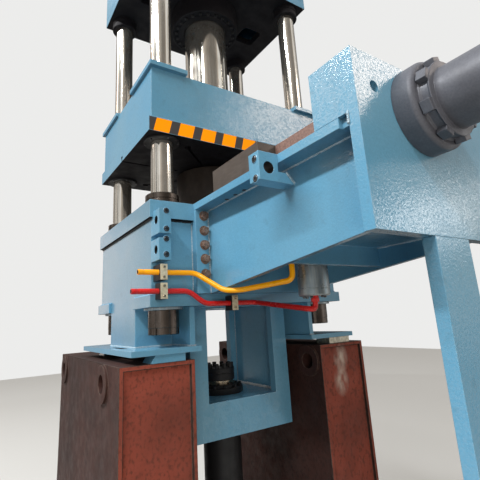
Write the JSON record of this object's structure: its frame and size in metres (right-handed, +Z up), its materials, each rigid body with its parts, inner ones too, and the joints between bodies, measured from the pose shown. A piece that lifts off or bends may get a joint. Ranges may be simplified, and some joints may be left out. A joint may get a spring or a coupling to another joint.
{
  "type": "vertical cold-chamber die casting press",
  "caption": "Vertical die casting press with chromed guide columns, a moving platen over a round die, a side bracket with a cross slide, and an injection cylinder under the bed.",
  "frame": {"origin": "on the press axis at floor level", "axes": "+Z up along the press axis, +X to the right seen from the front, -Y towards the front, where the bracket reaches out"},
  "size_m": [1.547, 2.948, 4.835],
  "materials": {
    "blue_paint": "glossy light blue machine enamel over fabricated steel",
    "chromed_steel": "hard chrome, polished",
    "oiled_steel": "dark machined steel under an oil film",
    "ground_steel": "ground bare steel",
    "black_steel": "blackened forged steel, satin",
    "zinc_steel": "zinc plated",
    "yellow_paint": "glossy yellow paint",
    "red_paint": "glossy red paint",
    "red_primer": "dull red-brown primer, scuffed, with oil stains"
  },
  "bodies": {
    "press_frame": {"crown_bottom_plate": "blue_paint", "crown_walls": "blue_paint", "crown_top_plate": "blue_paint", "main_cylinder": "blue_paint", "column_front_left": "chromed_steel", "column_front_right": "chromed_steel", "column_back_left": "chromed_steel", "column_back_right": "chromed_steel", "column_top_nuts": "oiled_steel", "column_collars": "oiled_steel", "column_bottom_nuts": "oiled_steel", "bed_top_plate": "blue_paint", "bed_left_wall": "blue_paint", "bed_right_wall": "blue_paint", "bed_front_wall": "blue_paint", "bed_back_wall": "blue_paint", "bed_bottom_plate": "blue_paint", "foot_plates": "blue_paint", "shim_plates": "ground_steel", "frame_front_wall": "blue_paint", "frame_back_wall": "blue_paint", "frame_side_walls": "blue_paint", "frame_floor": "blue_paint", "injection_cylinder": "black_steel", "injection_head": "black_steel", "die_block": "oiled_steel", "bracket_flange": "blue_paint", "bracket_webs": "blue_paint", "bracket_table": "blue_paint", "bracket_shelf": "blue_paint", "bracket_end_plate": "blue_paint", "bracket_post": "blue_paint", "side_cylinder": "black_steel", "guide_gibs": "ground_steel", "bored_blocks": "blue_paint", "hung_cylinder": "blue_paint", "yellow_pipe": "yellow_paint", "red_pipe": "red_paint", "pipe_clamps": "zinc_steel", "left_stand": "red_primer", "right_stand": "red_primer"},
    "moving_platen": {"platen_box": "blue_paint", "platen_bottom_plate": "blue_paint", "platen_covers": "blue_paint", "platen_bushings": "oiled_steel", "main_ram": "chromed_steel"},
    "feed_slide": {"cross_slide": "ground_steel"}
  },
  "joints": [
    {"name": "platen_travel", "type": "slide", "parent": "press_frame", "child": "moving_platen", "axis": [0, 0, 1], "range_m": [0, 0.5]},
    {"name": "slide_feed", "type": "slide", "parent": "press_frame", "child": "feed_slide", "axis": [0, 1, 0], "range_m": [0, 0.35]}
  ]
}
